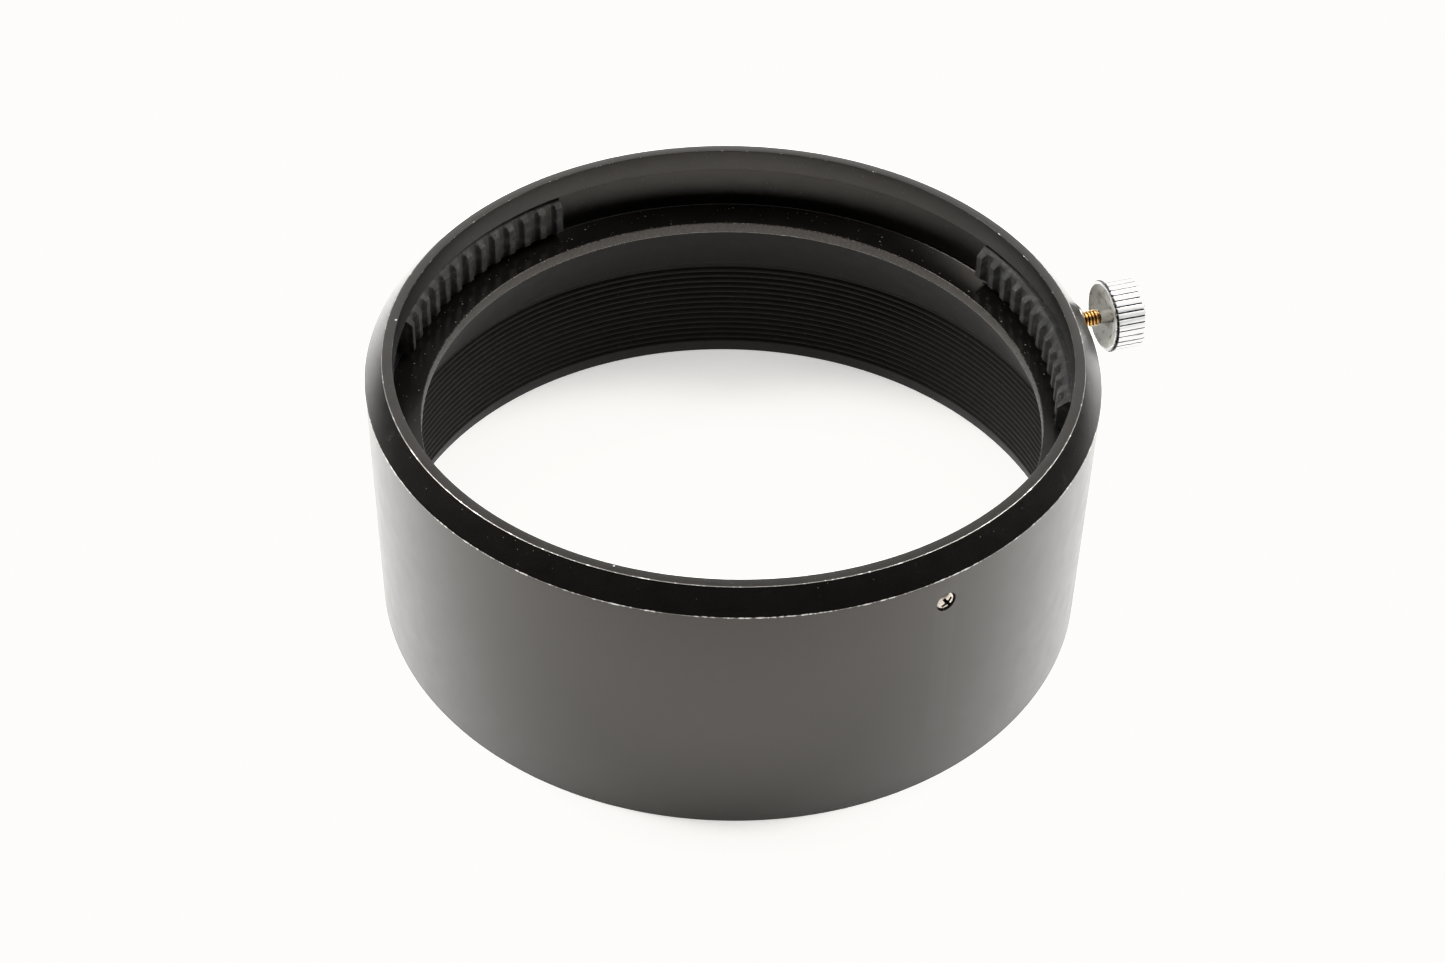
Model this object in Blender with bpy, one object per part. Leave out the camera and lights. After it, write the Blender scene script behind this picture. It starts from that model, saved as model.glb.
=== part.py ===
"""Clamp-on metal lens hood.

One turned aluminium ring stands on its front rim, with the end that goes over the lens up.
Three ribbed pads lie in an undercut channel at that end. Two are fixed to the channel's wall.
The third rides on a spring leaf, which a screw anchors at one end and a thumbscrew pushes inwards.

Metres, +Z along the optical axis towards the lens, origin on that axis at the front rim,
+X through the thumbscrew.
"""

import math

import bmesh
import bpy
from mathutils import Vector

# The turned ring, from the outside in and from the lens end down.
OUTER_RADIUS = 0.0460
RING_HEIGHT = 0.0370
BEVEL_WIDTH = 0.0021
BEVEL_HEIGHT = 0.0025
CHANNEL_WALL = 0.0020
CHANNEL_HEIGHT = 0.0069
LIP_OVERHANG = 0.0016
LIP_DEPTH = 0.0031
LEDGE_WIDTH = 0.0046
THROAT_LAND = 0.0015
CONE_DEPTH = 0.0091
GROOVE_WALL = 0.0012
GROOVE_DEPTH = 0.0004
GROOVE_PITCH = 0.00092
FRONT_CHAMFER = 0.0023
FRONT_WALL = 0.0008

# Ribbed pads.
PAD_LENGTH = 0.0344
FIXED_PAD_THICKNESS = 0.0019
CLAMP_PAD_THICKNESS = 0.0016
FIXED_PAD_FLOOR_GAP = 0.0005
CLAMP_PAD_INSET = 0.00015
FIXED_PAD_AZIMUTH = math.radians(128.5)
RIB_COUNT = 13
RIB_HEIGHT = 0.0008
RIB_TIP = 0.0010
RIB_FLANK = 0.0004

# Spring leaf: an arc flatter than the channel, so it lies on the wall at both ends only.
LEAF_THICKNESS = 0.0004
LEAF_SIDE_GAP = 0.0007
LEAF_BOW = 0.00105
LEAF_FREE_AZIMUTH = math.radians(21.6)
LEAF_TAIL = 0.0020
LEAF_PAD_MARGIN = 0.0004

# Anchor screw and its nut plate.
ANCHOR_AZIMUTH = math.radians(-75.1)
ANCHOR_HEAD_RADIUS = 0.00105
ANCHOR_HEAD_THICKNESS = 0.0006
ANCHOR_HEAD_SUNK = 0.00015
ANCHOR_SHANK_RADIUS = 0.0007
COUNTERBORE_RADIUS = 0.00132
RECESS_LENGTH = 0.0015
RECESS_WIDTH = 0.00034
RECESS_DEPTH = 0.00035
RECESS_TURN = math.radians(36)
NUT_PLATE_WIDTH = 0.0038
NUT_PLATE_HEIGHT = 0.0044
NUT_PLATE_THICKNESS = 0.00055
NUT_PLATE_GAP = 0.00034

# Thumbscrew, its bush in the wall and the foot on its inner end.
STUD_RADIUS = 0.0011
NECK_RADIUS = 0.00095
NECK_LENGTH = 0.0006
SPIGOT_RADIUS = 0.0007
RIVET_RADIUS = 0.0010
RIVET_THICKNESS = 0.00018
FOOT_RADIUS = 0.0020
FOOT_SEAT_DEPTH = 0.0003
BUSH_RADIUS = 0.0018
BUSH_FLANGE_RADIUS = 0.0026
BUSH_FLANGE_HEIGHT = 0.00135
BUSH_FLANGE_CHAMFER = 0.0004
SPOTFACE_DEPTH = 0.00015
SCREW_TRAVEL = 0.0030
HEAD_STOP_GAP = 0.0003
HEAD_RADIUS = 0.00467
HEAD_LENGTH = 0.00437
HEAD_CHAMFER = 0.00035
DISH_RIM = 0.00047
DISH_DEPTH = 0.0012
HEAD_FACE_THICKNESS = 0.00097
KNURL_TEETH = 36
KNURL_DEPTH = 0.00022
KNURL_GROOVE_SHARE = 0.34

# Clearances.
FACE_GAP = 0.0001
RUNNING_GAP = 0.00005
HOLE_GAP = 0.0001
LEAF_END_GAP = 0.0002
LEAF_HOLE_GAP = 0.00025

# Facets.
RING_STEPS = 80
SMALL_STEPS = 32
ARC_STEP = math.radians(3)

# Places that follow from the sizes above.
CHANNEL_RADIUS = OUTER_RADIUS - CHANNEL_WALL
LIP_RADIUS = CHANNEL_RADIUS - LIP_OVERHANG
THROAT_RADIUS = CHANNEL_RADIUS - LEDGE_WIDTH
LIP_Z = RING_HEIGHT - LIP_DEPTH
LEDGE_Z = LIP_Z - CHANNEL_HEIGHT
CLAMP_Z = (LIP_Z + LEDGE_Z) / 2
LEAF_HALF_HEIGHT = CHANNEL_HEIGHT / 2 - LEAF_SIDE_GAP
CLAMP_PAD_HALF_HEIGHT = LEAF_HALF_HEIGHT - CLAMP_PAD_INSET
SPOTFACE_X = OUTER_RADIUS - SPOTFACE_DEPTH
BUSH_FACE_X = OUTER_RADIUS + BUSH_FLANGE_HEIGHT
HEAD_X = BUSH_FACE_X + SCREW_TRAVEL + HEAD_STOP_GAP
DISH_RADIUS = HEAD_RADIUS - DISH_RIM
HEAD_BORE_DEPTH = HEAD_LENGTH - HEAD_FACE_THICKNESS


def clear_scene():
    for thing in list(bpy.data.objects):
        bpy.data.objects.remove(thing, do_unlink=True)


def material(name, colour, roughness, metallic):
    made = bpy.data.materials.new(name)
    made.use_nodes = True
    shader = made.node_tree.nodes["Principled BSDF"]
    shader.inputs["Base Color"].default_value = (*colour, 1)
    shader.inputs["Roughness"].default_value = roughness
    shader.inputs["Metallic"].default_value = metallic
    return made


def add_object(name, shape, made_of, parent=None):
    """Turns a bmesh into an object with smooth round faces and sharp corners."""
    bmesh.ops.recalc_face_normals(shape, faces=shape.faces)
    mesh = bpy.data.meshes.new(name)
    shape.to_mesh(mesh)
    shape.free()
    mesh.shade_smooth()
    mesh.set_sharp_from_angle(angle=math.radians(30))
    mesh.materials.append(made_of)
    obj = bpy.data.objects.new(name, mesh)
    bpy.context.scene.collection.objects.link(obj)
    obj.parent = parent
    return obj


def add_axis(name, place, turn):
    """An empty on an axis, for the pieces that turn about it or lie along it."""
    axis = bpy.data.objects.new(name, None)
    bpy.context.scene.collection.objects.link(axis)
    axis.location = place
    axis.rotation_euler = turn
    return axis


def turned(profile, steps, closed):
    """A solid of revolution about local Z, from (radius, height) points along its outline."""
    shape = bmesh.new()
    points = [shape.verts.new((radius, 0, height)) for radius, height in profile]
    for first, second in zip(points, points[1:]):
        shape.edges.new((first, second))
    if closed:
        shape.edges.new((points[-1], points[0]))
    bmesh.ops.spin(
        shape,
        geom=shape.verts[:] + shape.edges[:],
        cent=(0, 0, 0),
        axis=(0, 0, 1),
        angle=2 * math.pi,
        steps=steps,
        use_merge=True,
    )
    bmesh.ops.remove_doubles(shape, verts=shape.verts, dist=1e-7)
    return shape


def extruded(outline, low, high):
    """A prism along Z on an outline of (x, y) points."""
    shape = bmesh.new()
    face = shape.faces.new([shape.verts.new((x, y, low)) for x, y in outline])
    raised = bmesh.ops.extrude_face_region(shape, geom=[face])["geom"]
    top = [item for item in raised if isinstance(item, bmesh.types.BMVert)]
    bmesh.ops.translate(shape, verts=top, vec=(0, 0, high - low))
    return shape


def box(size, centre):
    shape = bmesh.new()
    bmesh.ops.create_cube(shape, size=1)
    bmesh.ops.scale(shape, verts=shape.verts, vec=size)
    bmesh.ops.translate(shape, verts=shape.verts, vec=centre)
    return shape


def rod(radius, low, high):
    outline = ((0, high), (radius, high), (radius, low), (0, low))
    return turned(outline, SMALL_STEPS, closed=False)


def cut(target, name, shape, parent):
    """Subtracts a shape from an object, keeping the cutter as a hidden wire."""
    cutter = add_object(name, shape, target.data.materials[0], parent)
    cutter.hide_render = True
    cutter.display_type = "WIRE"
    boolean = target.modifiers.new(name, "BOOLEAN")
    boolean.object = cutter
    boolean.operation = "DIFFERENCE"
    boolean.solver = "EXACT"
    return cutter


def on_circle(centre, radius, angle):
    return centre + Vector((math.cos(angle), math.sin(angle))) * radius


def leaf_arc():
    """Centre, outer radius, and the angles of the leaf's anchored and free ends about that centre."""
    end_radius = CHANNEL_RADIUS - LEAF_END_GAP
    tail_azimuth = ANCHOR_AZIMUTH - LEAF_TAIL / end_radius
    middle = (LEAF_FREE_AZIMUTH + tail_azimuth) / 2
    half = (LEAF_FREE_AZIMUTH - tail_azimuth) / 2
    half_chord = end_radius * math.sin(half)
    rise = end_radius * (1 - math.cos(half)) - LEAF_BOW
    radius = (half_chord**2 + rise**2) / (2 * rise)
    centre = on_circle(Vector((0, 0)), end_radius - LEAF_BOW - radius, middle)
    half_span = math.asin(half_chord / radius)
    return centre, radius, middle - half_span, middle + half_span


def leaf_distance(azimuth):
    """How far from the optical axis the leaf's outer face is, in one direction."""
    centre, radius, _, _ = leaf_arc()
    along = centre.dot(Vector((math.cos(azimuth), math.sin(azimuth))))
    return along + math.sqrt(along**2 - centre.length_squared + radius**2)


def arc(centre, radius, first, last):
    """Points along an arc, close enough together to keep its facets near the true curve."""
    count = max(2, math.ceil(abs(last - first) / ARC_STEP))
    return [on_circle(centre, radius, first + (last - first) * i / count) for i in range(count + 1)]


def pad_outline(centre, back_radius, middle, thickness):
    """A ribbed strip bent to back_radius: a smooth back, and ribs that point at the lens."""
    half = PAD_LENGTH / back_radius / 2
    pitch = (PAD_LENGTH - RIB_TIP) / (RIB_COUNT - 1)
    tip = back_radius - thickness
    valley = tip + RIB_HEIGHT
    outline = arc(centre, back_radius, middle + half, middle - half)
    for rib in range(RIB_COUNT):
        start = middle - half + rib * pitch / back_radius
        end = start + RIB_TIP / back_radius
        flank = RIB_FLANK / back_radius
        if rib > 0:
            outline.append(on_circle(centre, valley, start - flank))
        outline.append(on_circle(centre, tip, start))
        outline.append(on_circle(centre, tip, end))
        if rib < RIB_COUNT - 1:
            outline.append(on_circle(centre, valley, end + flank))
    return outline


def ring_profile():
    """The ring's section, from the lens end down the outside and up the inside."""
    crest = OUTER_RADIUS - GROOVE_WALL - GROOVE_DEPTH
    cone_bottom = LEDGE_Z - THROAT_LAND - CONE_DEPTH
    profile = [
        (OUTER_RADIUS - BEVEL_WIDTH, RING_HEIGHT),
        (OUTER_RADIUS, RING_HEIGHT - BEVEL_HEIGHT),
        (OUTER_RADIUS, 0),
        (OUTER_RADIUS - FRONT_WALL, 0),
        (crest, FRONT_CHAMFER),
    ]
    for groove in range(int((cone_bottom - FRONT_CHAMFER) / GROOVE_PITCH)):
        low = FRONT_CHAMFER + groove * GROOVE_PITCH
        profile.append((crest + GROOVE_DEPTH, low + GROOVE_PITCH / 2))
        profile.append((crest, low + GROOVE_PITCH))
    profile += [
        (crest, cone_bottom),
        (THROAT_RADIUS, LEDGE_Z - THROAT_LAND),
        (THROAT_RADIUS, LEDGE_Z),
        (CHANNEL_RADIUS, LEDGE_Z),
        (CHANNEL_RADIUS, LIP_Z),
        (LIP_RADIUS, LIP_Z),
        (LIP_RADIUS, RING_HEIGHT),
    ]
    return profile


def stepped_hole(hole_radius, recess_radius, floor):
    """A cutter for a hole through the channel's wall, wider from the floor outwards."""
    inside = CHANNEL_RADIUS - CHANNEL_WALL
    outside = OUTER_RADIUS + CHANNEL_WALL
    outline = (
        (0, outside),
        (recess_radius, outside),
        (recess_radius, floor),
        (hole_radius, floor),
        (hole_radius, inside),
        (0, inside),
    )
    return turned(outline, SMALL_STEPS, closed=False)


def make_barrel(made_of, screw_axis, anchor_axis):
    barrel = add_object("hood_barrel", turned(ring_profile(), RING_STEPS, closed=True), made_of)
    hole = stepped_hole(BUSH_RADIUS + HOLE_GAP, BUSH_FLANGE_RADIUS + HOLE_GAP, SPOTFACE_X)
    cut(barrel, "bush_hole", hole, screw_axis)
    floor = OUTER_RADIUS - ANCHOR_HEAD_SUNK - ANCHOR_HEAD_THICKNESS - FACE_GAP
    hole = stepped_hole(ANCHOR_SHANK_RADIUS + HOLE_GAP, COUNTERBORE_RADIUS, floor)
    cut(barrel, "anchor_hole", hole, anchor_axis)


def make_fixed_pads(made_of):
    low = LEDGE_Z + FIXED_PAD_FLOOR_GAP
    high = LIP_Z - FACE_GAP
    back = CHANNEL_RADIUS - FACE_GAP
    for name, azimuth in (("fixed_pad_left", FIXED_PAD_AZIMUTH), ("fixed_pad_right", -FIXED_PAD_AZIMUTH)):
        outline = pad_outline(Vector((0, 0)), back, azimuth, FIXED_PAD_THICKNESS)
        add_object(name, extruded(outline, low, high), made_of)


def make_leaf(steel, rubber, pivot, anchor_axis):
    """The leaf and its pad, about the pivot at the anchor screw."""
    centre, radius, tail, free = leaf_arc()
    centre = centre - pivot.location.xy
    inner = radius - LEAF_THICKNESS
    outline = arc(centre, radius, tail, free) + arc(centre, inner, free, tail)
    shape = extruded(outline, -LEAF_HALF_HEIGHT, LEAF_HALF_HEIGHT)
    leaf = add_object("spring_leaf", shape, steel, pivot)
    hole = rod(ANCHOR_SHANK_RADIUS + LEAF_HOLE_GAP, LIP_RADIUS, CHANNEL_RADIUS)
    cut(leaf, "leaf_hole", hole, anchor_axis)
    back = inner - RUNNING_GAP
    middle = free - (LEAF_PAD_MARGIN + PAD_LENGTH / 2) / back
    outline = pad_outline(centre, back, middle, CLAMP_PAD_THICKNESS)
    shape = extruded(outline, -CLAMP_PAD_HALF_HEIGHT, CLAMP_PAD_HALF_HEIGHT)
    add_object("clamp_pad", shape, rubber, pivot)


def make_anchor(nickel, steel, anchor_axis):
    """The cross-head screw through the wall, and the nut plate that it pulls against the leaf."""
    plate_high = leaf_distance(ANCHOR_AZIMUTH) - LEAF_THICKNESS - NUT_PLATE_GAP
    plate_low = plate_high - NUT_PLATE_THICKNESS
    face = OUTER_RADIUS - ANCHOR_HEAD_SUNK
    under = face - ANCHOR_HEAD_THICKNESS
    outline = (
        (0, face),
        (ANCHOR_HEAD_RADIUS, face),
        (ANCHOR_HEAD_RADIUS, under),
        (ANCHOR_SHANK_RADIUS, under),
        (ANCHOR_SHANK_RADIUS, plate_low + RUNNING_GAP),
        (0, plate_low + RUNNING_GAP),
    )
    screw = add_object("anchor_screw", turned(outline, SMALL_STEPS, closed=False), nickel, anchor_axis)
    for bar, turn in (("recess_bar_a", RECESS_TURN), ("recess_bar_b", RECESS_TURN + math.pi / 2)):
        shape = box((RECESS_LENGTH, RECESS_WIDTH, 2 * RECESS_DEPTH), (0, 0, face))
        cut(screw, bar, shape, anchor_axis).rotation_euler.z = turn
    middle = (plate_low + plate_high) / 2
    size = (NUT_PLATE_HEIGHT, NUT_PLATE_WIDTH, NUT_PLATE_THICKNESS)
    plate = add_object("anchor_nut_plate", box(size, (0, 0, middle)), steel, anchor_axis)
    hole = rod(ANCHOR_SHANK_RADIUS + HOLE_GAP, plate_low - FACE_GAP, CHANNEL_RADIUS)
    cut(plate, "nut_plate_hole", hole, anchor_axis)


def make_bush(made_of, screw_axis):
    bore = STUD_RADIUS + RUNNING_GAP
    outline = (
        (bore, BUSH_FACE_X),
        (BUSH_FLANGE_RADIUS - BUSH_FLANGE_CHAMFER, BUSH_FACE_X),
        (BUSH_FLANGE_RADIUS, BUSH_FACE_X - BUSH_FLANGE_CHAMFER),
        (BUSH_FLANGE_RADIUS, SPOTFACE_X + FACE_GAP),
        (BUSH_RADIUS, SPOTFACE_X + FACE_GAP),
        (BUSH_RADIUS, CHANNEL_RADIUS),
        (bore, CHANNEL_RADIUS),
    )
    add_object("screw_bush", turned(outline, SMALL_STEPS, closed=True), made_of, screw_axis)


def make_foot_and_stud(foot_metal, stud_metal, screw_axis):
    """The foot turns freely on the stud's spigot, which is riveted over inside the foot's seat."""
    foot_back = CHANNEL_RADIUS - FACE_GAP - HOLE_GAP / 2
    foot_front = leaf_distance(0) + FACE_GAP
    seat = foot_front + FOOT_SEAT_DEPTH
    outline = (
        (SPIGOT_RADIUS + RUNNING_GAP, foot_back),
        (FOOT_RADIUS, foot_back),
        (FOOT_RADIUS, foot_front),
        (RIVET_RADIUS + HOLE_GAP, foot_front),
        (RIVET_RADIUS + HOLE_GAP, seat),
        (SPIGOT_RADIUS + RUNNING_GAP, seat),
    )
    add_object("pressure_foot", turned(outline, SMALL_STEPS, closed=True), foot_metal, screw_axis)
    rivet_top = seat - RUNNING_GAP
    neck_end = HEAD_X + HEAD_BORE_DEPTH - FACE_GAP
    shoulder = HEAD_X - NECK_LENGTH
    outline = (
        (0, neck_end),
        (NECK_RADIUS, neck_end),
        (NECK_RADIUS, shoulder),
        (STUD_RADIUS, shoulder),
        (STUD_RADIUS, foot_back + RUNNING_GAP),
        (SPIGOT_RADIUS, foot_back + RUNNING_GAP),
        (SPIGOT_RADIUS, rivet_top),
        (RIVET_RADIUS, rivet_top),
        (RIVET_RADIUS, rivet_top - RIVET_THICKNESS),
        (0, rivet_top - RIVET_THICKNESS),
    )
    add_object("thumbscrew_stud", turned(outline, SMALL_STEPS, closed=False), stud_metal, screw_axis)


def knurled(radius, low, high):
    """A cylinder with straight flutes, and a chamfer at its high end."""
    pitch = 2 * math.pi / KNURL_TEETH
    flute = pitch * KNURL_GROOVE_SHARE / 2
    rings = ((0, low), (0, high - HEAD_CHAMFER), (HEAD_CHAMFER, high))
    shape = bmesh.new()
    loops = []
    for inset, height in rings:
        loop = []
        for tooth in range(KNURL_TEETH):
            for offset, depth in ((-flute, 0), (0, KNURL_DEPTH), (flute, 0)):
                angle = tooth * pitch + offset
                reach = radius - max(inset, depth)
                loop.append(shape.verts.new((reach * math.cos(angle), reach * math.sin(angle), height)))
        loops.append(loop)
    for lower, upper in zip(loops, loops[1:]):
        for i, point in enumerate(lower):
            after = (i + 1) % len(lower)
            shape.faces.new((point, lower[after], upper[after], upper[i]))
    shape.faces.new(loops[0])
    shape.faces.new(loops[-1])
    return shape


def make_head(made_of, screw_axis):
    """The knurled head, hollowed to a shallow cone on its underside."""
    shape = knurled(HEAD_RADIUS, HEAD_X, HEAD_X + HEAD_LENGTH)
    head = add_object("thumbscrew_head", shape, made_of, screw_axis)
    bore = NECK_RADIUS + RUNNING_GAP
    outside = HEAD_X - DISH_DEPTH
    outline = (
        (0, HEAD_X + HEAD_BORE_DEPTH),
        (bore, HEAD_X + HEAD_BORE_DEPTH),
        (bore, HEAD_X + DISH_DEPTH),
        (DISH_RADIUS, HEAD_X),
        (DISH_RADIUS, outside),
        (0, outside),
    )
    cut(head, "head_dish", turned(outline, SMALL_STEPS, closed=False), screw_axis)


def main():
    clear_scene()
    anodised = material("black_anodised_aluminium", (0.02, 0.02, 0.021), 0.35, 0.4)
    rubber = material("ribbed_rubber", (0.03, 0.031, 0.034), 0.6, 0)
    spring_steel = material("blackened_spring_steel", (0.08, 0.08, 0.08), 0.4, 1)
    zinc = material("zinc_plated_steel", (0.6, 0.6, 0.58), 0.35, 1)
    nickel = material("nickel_plated_steel", (0.65, 0.64, 0.6), 0.25, 1)
    chrome = material("chrome", (0.85, 0.85, 0.86), 0.12, 1)
    bush_plate = material("plated_brass_bush", (0.8, 0.8, 0.8), 0.15, 1)
    brass = material("brass", (0.75, 0.52, 0.2), 0.28, 1)
    foot_brass = material("foot_brass", (0.7, 0.5, 0.22), 0.35, 1)

    quarter = math.pi / 2
    screw_axis = add_axis("thumbscrew_axis", (0, 0, CLAMP_Z), (0, quarter, 0))
    anchor_axis = add_axis("anchor_axis", (0, 0, CLAMP_Z), (0, quarter, ANCHOR_AZIMUTH))
    reach = leaf_distance(ANCHOR_AZIMUTH) - LEAF_THICKNESS / 2
    anchor = on_circle(Vector((0, 0)), reach, ANCHOR_AZIMUTH)
    pivot = add_axis("leaf_pivot", (anchor.x, anchor.y, CLAMP_Z), (0, 0, 0))

    make_barrel(anodised, screw_axis, anchor_axis)
    make_fixed_pads(rubber)
    make_leaf(spring_steel, rubber, pivot, anchor_axis)
    make_anchor(nickel, zinc, anchor_axis)
    make_bush(bush_plate, screw_axis)
    make_foot_and_stud(foot_brass, brass, screw_axis)
    make_head(chrome, screw_axis)


main()
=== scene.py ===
"""Looks of the clamp-on metal lens hood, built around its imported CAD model.

A finer piece in the same place stands for each CAD node: turned and rounded edges, baffle grooves,
ribbed rubber, a real screw thread and a knurled head. Lengths are millimetres in the row frame,
unless a comment says metres: +Z along the optical axis towards the lens, +X through the thumbscrew.
"""

import math

import bmesh
import bpy
from mathutils import Matrix, Vector


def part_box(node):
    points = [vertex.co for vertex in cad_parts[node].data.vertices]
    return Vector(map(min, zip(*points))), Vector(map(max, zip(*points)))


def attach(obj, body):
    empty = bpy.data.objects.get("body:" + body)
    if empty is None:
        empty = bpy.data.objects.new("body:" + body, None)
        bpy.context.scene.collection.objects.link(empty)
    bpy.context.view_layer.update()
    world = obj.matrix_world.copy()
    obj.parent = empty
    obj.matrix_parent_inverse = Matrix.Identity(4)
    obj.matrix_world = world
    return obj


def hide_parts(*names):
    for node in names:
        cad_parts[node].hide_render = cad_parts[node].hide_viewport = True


MM = 0.001

# Section of the ring. The bevel is slightly larger than in the CAD, and the grooves are shallower.
BEVEL_WIDTH, BEVEL_HEIGHT = 2.3, 2.6
CHANNEL_WALL, CHANNEL_HEIGHT, LIP_DEPTH, LIP_OVERHANG = 2.0, 6.9, 3.1, 1.6
LEDGE_WIDTH, THROAT_LAND, CONE_DEPTH = 4.6, 1.5, 9.1
GROOVE_WALL, GROOVE_DEPTH, GROOVE_PITCH, GROOVE_COUNT = 1.2, 0.4, 0.92, 15
GROOVE_BLUNT = 0.62  # share of the CAD grooves' depth
GROOVE_CREST_HALF = 0.12
FRONT_CHAMFER, FRONT_WALL = 2.3, 0.8

# Pads and leaf.
PAD_LENGTH, RIB_COUNT, RIB_HEIGHT, RIB_TIP, RIB_FLANK = 34.4, 13, 0.8, 1.0, 0.4
FIXED_PAD_THICKNESS, CLAMP_PAD_THICKNESS = 1.9, 1.6
FIXED_PAD_AZIMUTH = math.radians(128.5)
LEAF_THICKNESS, LEAF_BOW, LEAF_TAIL, LEAF_PAD_MARGIN, LEAF_END_GAP = 0.4, 1.05, 2.0, 0.4, 0.2
LEAF_FREE_AZIMUTH = math.radians(21.6)
ANCHOR_AZIMUTH = math.radians(-75.1)
LEAF_HOLE_RADIUS = 0.95
PAD_SLOPE_START, PAD_SLOPE, PAD_STEEPER = 0.35, 1.05, 1.6  # sloped long edges, steeper at the bottom
PAD_EDGE_STEP, RIB_EASE = 0.12, 0.13
LEAF_EDGE, PLATE_EDGE = 0.06, 0.07

# Screws.
COUNTERBORE_RADIUS, COUNTERBORE_DEPTH = 1.32, 0.85
ANCHOR_HOLE_RADIUS, BUSH_HOLE_RADIUS, SPOTFACE_RADIUS, SPOTFACE_DEPTH = 0.8, 1.9, 2.7, 0.15
RECESS_TURN = math.radians(36)
ANCHOR_PROUD, ANCHOR_RIM, ANCHOR_DROP, ANCHOR_SKIRT, ANCHOR_UNDER = 0.14, 1.23, 0.38, 0.10, 0.75
ANCHOR_SHANK = 0.7
NUT_PLATE_HALF_HEIGHT, NUT_PLATE_HALF_WIDTH, NUT_PLATE_CORNER = 2.2, 1.9, 0.5
NUT_PLATE_HALF_THICKNESS, NUT_PLATE_HOLE = 0.275, 0.8
BUSH_BORE, BUSH_RADIUS, BUSH_FLANGE, BUSH_FACE, BUSH_CHAMFER = 1.15, 1.8, 2.6, 2.2, 0.4
FOOT_RADIUS, FOOT_SEAT_RADIUS, FOOT_SEAT_DEPTH, FOOT_HOLE = 2.0, 1.12, 0.3, 0.76
NECK_RADIUS, NECK_LENGTH, SPIGOT_RADIUS, RIVET_RADIUS = 0.95, 0.6, 0.7, 1.0
THREAD_RADIUS, THREAD_DEPTH, THREAD_PITCH = 1.1, 0.26, 0.45
KNURL_TEETH, CROWN_DEPTH, GROOVE_CUT, GROOVE_HALF = 36, 0.07, 0.25, 0.19
DISH_RIM, DISH_DEPTH = 0.58, 1.25
HEAD_PROUD = 0.22  # how much larger in radius the head is drawn than in the CAD
KNURL_END, HEAD_BORE, HEAD_BORE_DEPTH = 0.42, 1.0, 3.4

# The camera's aim, and its place in metres in the turned frame.
VIEW_AZIMUTH = math.radians(-18.1)
VIEW_ELEVATION = math.radians(41.523)
VIEW_ROLL = 0.0216
CAMERA_PLACE = (-0.0010600, -0.2538694, 0.2388550)
CAMERA_LENS = 64.73

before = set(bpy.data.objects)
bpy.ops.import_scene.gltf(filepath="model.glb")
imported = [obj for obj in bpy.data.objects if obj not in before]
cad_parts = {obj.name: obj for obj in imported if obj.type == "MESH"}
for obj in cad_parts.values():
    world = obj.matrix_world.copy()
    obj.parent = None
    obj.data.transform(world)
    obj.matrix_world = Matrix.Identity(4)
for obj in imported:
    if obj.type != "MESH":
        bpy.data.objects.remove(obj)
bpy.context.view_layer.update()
hood_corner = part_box("hood_barrel")[1]
OUTER = hood_corner.x / MM
HEIGHT = hood_corner.z / MM
CHANNEL = OUTER - CHANNEL_WALL
LIP = CHANNEL - LIP_OVERHANG
THROAT = CHANNEL - LEDGE_WIDTH
LIP_Z = HEIGHT - LIP_DEPTH
LEDGE_Z = LIP_Z - CHANNEL_HEIGHT
CLAMP_Z = (LIP_Z + LEDGE_Z) / 2
CREST = OUTER - GROOVE_WALL - GROOVE_DEPTH
CONE_Z = LEDGE_Z - THROAT_LAND - CONE_DEPTH


# ---------------------------------------------------------------- geometry

def rounded(corners, steps=4):
    """A closed outline with each corner (a, b, setback) turned into a short curve."""
    outline = []
    count = len(corners)
    for i, (a, b, setback) in enumerate(corners):
        here = Vector((a, b))
        if not setback:
            outline.append(here)
            continue
        before = (Vector(corners[i - 1][:2]) - here).normalized() * setback
        after = (Vector(corners[(i + 1) % count][:2]) - here).normalized() * setback
        for k in range(steps + 1):
            t = k / steps
            outline.append(here + before * (1 - t) ** 2 + after * t**2)
    return outline


def piece(name, shape, body, nodes, made_of, angle=35):
    """Links a bmesh as a piece that rides on a body and stands for CAD nodes."""
    bmesh.ops.remove_doubles(shape, verts=shape.verts, dist=1e-7)
    bmesh.ops.recalc_face_normals(shape, faces=shape.faces)
    mesh = bpy.data.meshes.new(name)
    shape.to_mesh(mesh)
    shape.free()
    mesh.shade_smooth()
    mesh.set_sharp_from_angle(angle=math.radians(angle))
    mesh.materials.append(made_of)
    obj = bpy.data.objects.new(name, mesh)
    bpy.context.scene.collection.objects.link(obj)
    if body:
        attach(obj, body)
        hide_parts(*nodes)
    return obj


def turned(outline, steps, place=None, closed=True, reach=None):
    """A solid of revolution about local Z. reach(radius, height, turn, index) gives each radius."""
    shape = bmesh.new()
    rings = []
    for step in range(steps):
        turn = 2 * math.pi * step / steps
        ring = []
        for i, (radius, height) in enumerate(outline):
            radius = reach(radius, height, turn, i) if reach else radius
            point = Vector((radius * math.cos(turn), radius * math.sin(turn), height))
            ring.append(shape.verts.new(point * MM))
        rings.append(ring)
    last = len(outline) if closed else len(outline) - 1
    for step in range(steps):
        here, there = rings[step], rings[(step + 1) % steps]
        for i in range(last):
            k = (i + 1) % len(outline)
            shape.faces.new((here[i], there[i], there[k], here[k]))
    bmesh.ops.remove_doubles(shape, verts=shape.verts, dist=1e-7)
    if place:
        bmesh.ops.transform(shape, matrix=place, verts=shape.verts)
    return shape


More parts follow.
